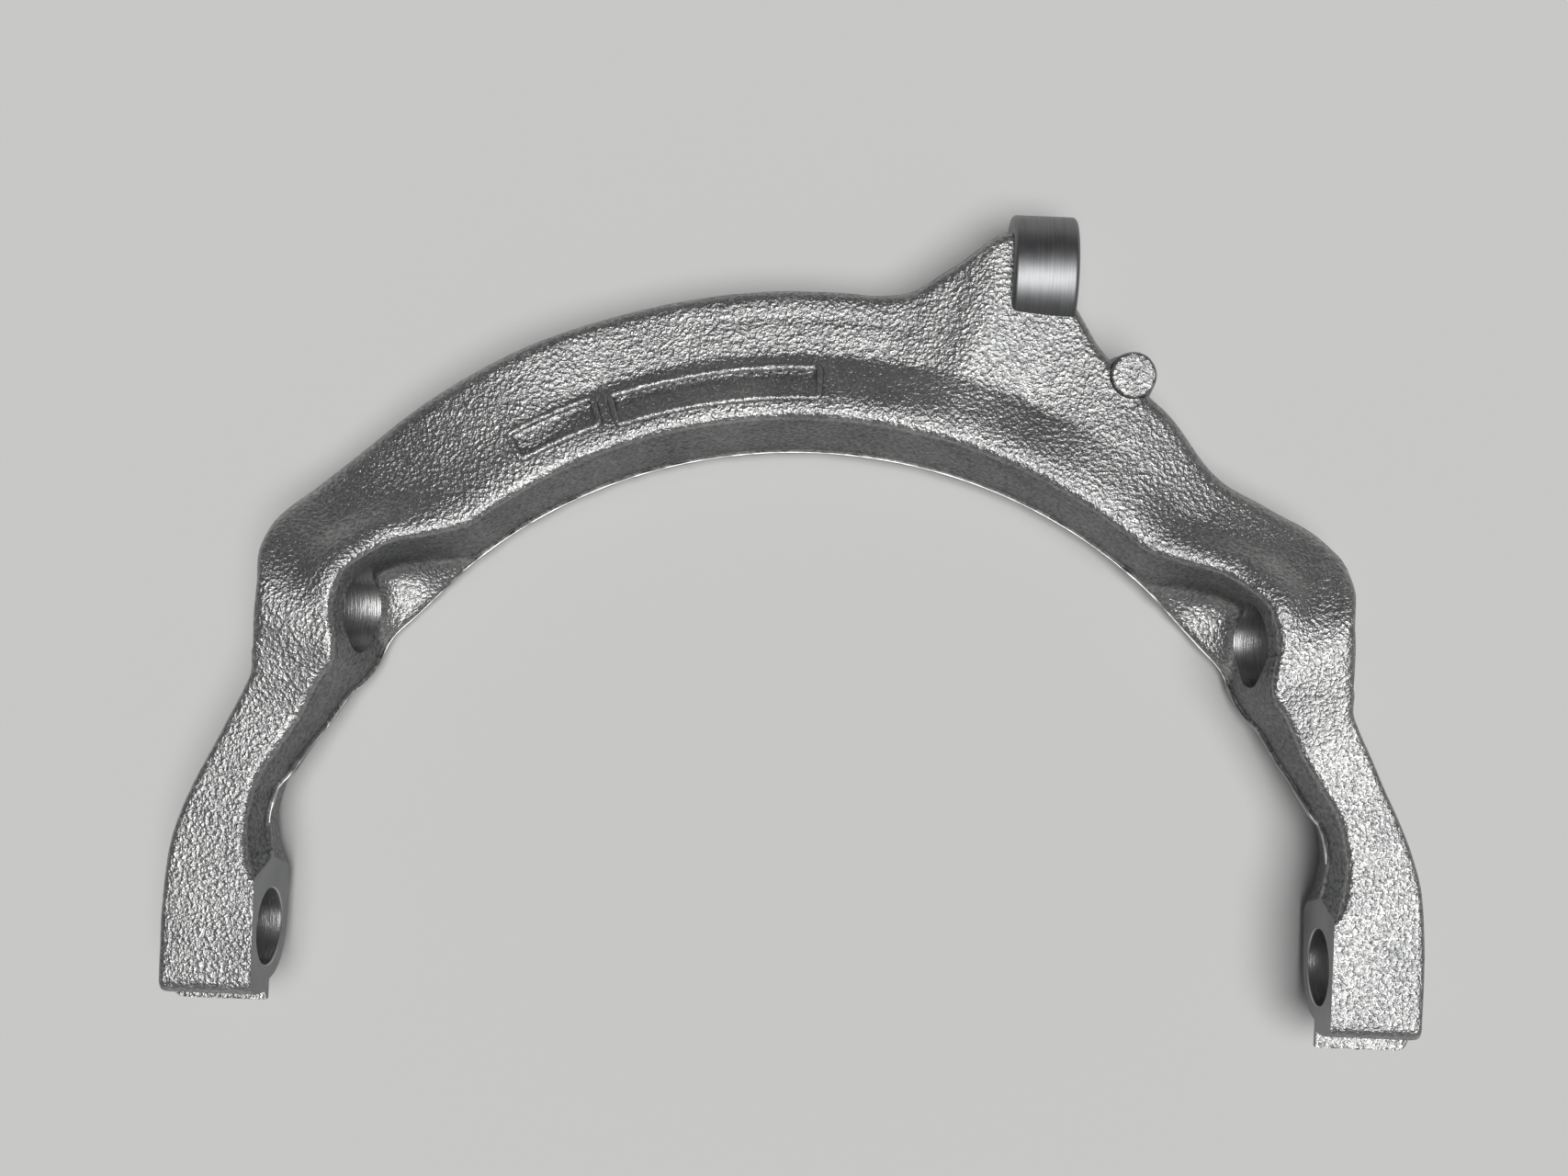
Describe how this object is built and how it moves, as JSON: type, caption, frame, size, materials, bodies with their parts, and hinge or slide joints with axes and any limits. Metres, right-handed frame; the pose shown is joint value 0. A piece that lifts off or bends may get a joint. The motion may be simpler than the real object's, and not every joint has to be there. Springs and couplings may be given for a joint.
{
  "type": "transmission shift fork",
  "caption": "One-piece forged steel shift fork: an arch over the sliding sleeve, pivot bores in its elbows, bored leg tips for sliding blocks and a machined shift lug on an arm.",
  "frame": {"origin": "middle of the common axis of the two pivot bores", "axes": "+X along the pivot axis, towards the limb that carries the shift lug's arm; +Y from the leg tips towards the shift lug; +Z out of the front face, so the fork lies on its flat back"},
  "size_m": [0.2614, 0.1722, 0.0305],
  "materials": {
    "forged_steel": "satin"
  },
  "bodies": {
    "root": {"shift_fork": "forged_steel"}
  },
  "joints": []
}
